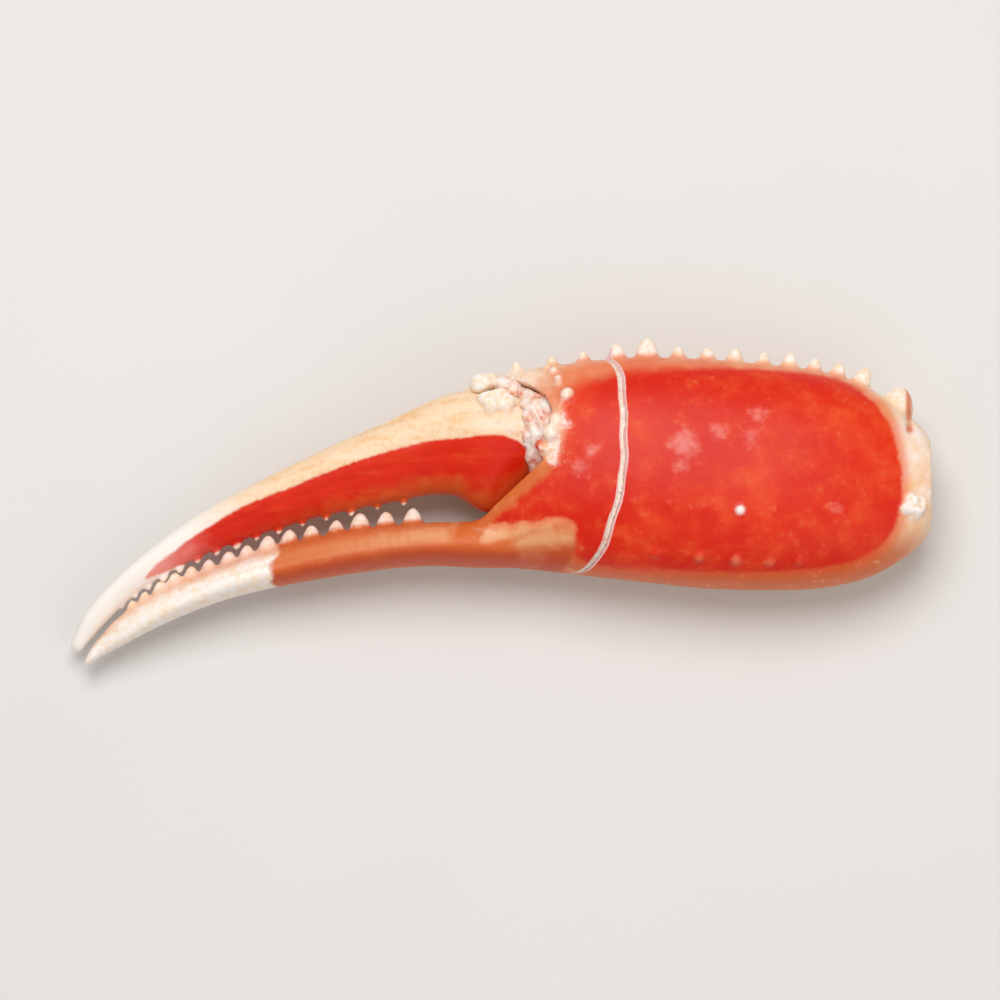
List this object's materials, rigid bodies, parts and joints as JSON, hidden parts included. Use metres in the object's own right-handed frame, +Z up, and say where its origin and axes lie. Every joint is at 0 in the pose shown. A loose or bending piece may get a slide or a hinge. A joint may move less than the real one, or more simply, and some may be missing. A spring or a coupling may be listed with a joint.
{
  "type": "snow crab claw",
  "caption": "Cooked snow crab claw lying on its side: spined red palm scored for snapping, one fixed and one movable toothed finger, meat showing in the score and at the wrist.",
  "frame": {"origin": "middle of the footprint, on the surface that the claw rests on", "axes": "+X towards the wrist, so the fingers point to -X; +Y towards the crest of spines; +Z up, out of the red outer face"},
  "size_m": [0.099, 0.0364, 0.0163],
  "materials": {
    "shell": "cooked shell, waxy and finely pitted, red with cream edges",
    "finger": "cooked shell, smooth and waxy, red running out to a white tip",
    "skin": "soft moist joint skin, pinkish white",
    "meat": "moist fibrous cooked meat, pinkish white"
  },
  "bodies": {
    "root": {"claw_shell": "shell", "movable_finger": "finger", "joint_skin": "skin", "claw_meat": "meat"}
  },
  "joints": []
}
